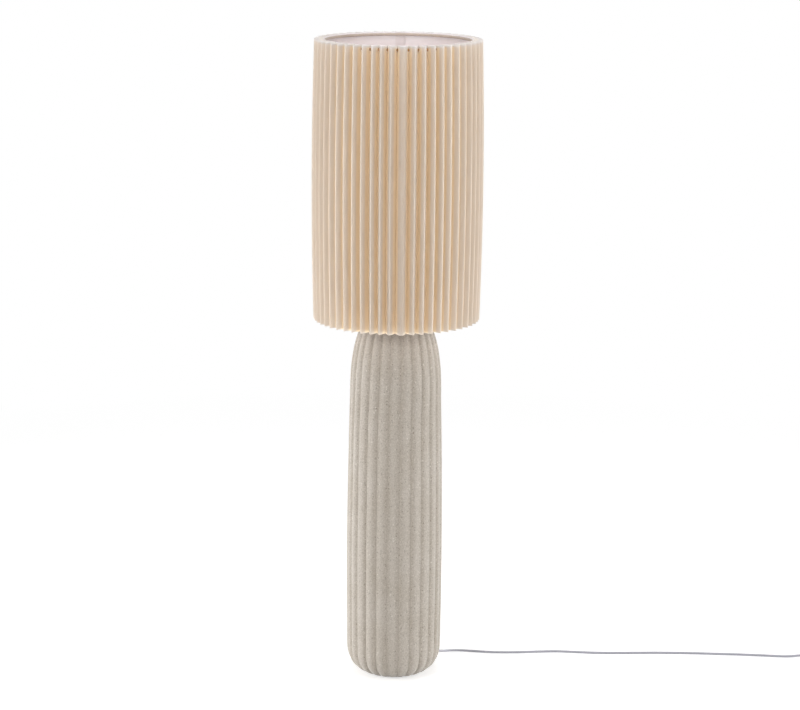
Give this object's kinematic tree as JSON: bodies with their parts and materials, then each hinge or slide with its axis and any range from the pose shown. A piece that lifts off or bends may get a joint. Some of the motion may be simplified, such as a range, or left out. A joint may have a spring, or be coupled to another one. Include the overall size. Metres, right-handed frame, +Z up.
{
  "type": "floor lamp",
  "caption": "Floor lamp with a tall hollow ribbed stoneware column, a pleated drum shade on a screw lampholder, and a mains cord with a foot switch and a plug.",
  "frame": {"origin": "centre of the lamp's foot on the floor", "axes": "+Z up the lamp's axis, -Y towards the front, +X to the side where the cord runs off"},
  "size_m": [1.107, 0.3103, 1.17],
  "materials": {
    "stoneware": "matt speckled stoneware with a dry unglazed surface",
    "felt": "pressed felt",
    "steel": "zinc plated steel",
    "brass": "satin brass",
    "white_plastic": "moulded white plastic",
    "porcelain": "glazed porcelain",
    "opal_glass": "opal white glass",
    "pleated_cloth": "pleated natural linen cloth",
    "liner": "smooth pale laminated liner",
    "cord_sheath": "grey cord sheath",
    "grey_plastic": "grey moulded plastic",
    "button_plastic": "dark grey moulded plastic",
    "soft_plastic": "grey soft plastic",
    "rubber": "black rubber"
  },
  "bodies": {
    "column": {"stoneware_body": "stoneware", "felt_pad": "felt", "base_plate": "steel", "threaded_rod": "steel", "top_cap": "brass", "neck_tube": "brass", "holder_cap": "white_plastic", "holder_shell": "white_plastic", "holder_insert": "porcelain", "holder_screw_shell": "brass", "holder_contact": "brass", "holder_terminals": "brass", "terminal_screws": "steel", "inner_flex": "cord_sheath", "strain_relief": "soft_plastic", "cord_run": "cord_sheath", "coil_lead": "cord_sheath", "cord_coil": "cord_sheath", "plug_lead": "cord_sheath", "switch_lower_shell": "grey_plastic", "switch_upper_shell": "grey_plastic", "switch_feet": "rubber", "switch_sleeves": "soft_plastic", "switch_contacts": "brass", "switch_screws": "steel", "switch_spring": "steel", "plug_body": "grey_plastic", "plug_tail": "soft_plastic", "plug_pins": "brass"},
    "shade": {"lower_frame": "steel", "upper_ring": "steel", "shade_liner": "liner", "shade_pleats": "pleated_cloth"},
    "shade_clamp": {"clamp_ring": "white_plastic"},
    "bulb": {"bulb_glass": "opal_glass", "bulb_cap": "steel", "bulb_contact": "brass"},
    "foot_button": {"switch_button": "button_plastic", "switch_bridge": "brass"}
  },
  "joints": [
    {"name": "shade_turn", "type": "hinge", "parent": "column", "child": "shade", "pos_m": [0, 0, 0.745], "axis": [0, 0, 1], "continuous": true},
    {"name": "clamp_ring_turn", "type": "hinge", "parent": "column", "child": "shade_clamp", "pos_m": [0, 0, 0.748], "axis": [0, 0, 1], "range_deg": [0, 720]},
    {"name": "bulb_turn", "type": "hinge", "parent": "column", "child": "bulb", "pos_m": [0, 0, 0.7585], "axis": [0, 0, 1], "range_deg": [0, 720]},
    {"name": "foot_button_press", "type": "slide", "parent": "column", "child": "foot_button", "axis": [0, 0, -1], "range_m": [0, 0.003], "stiffness_N_per_m": 1200, "springref_m": -0.003, "deforming": ["switch_spring"]}
  ]
}
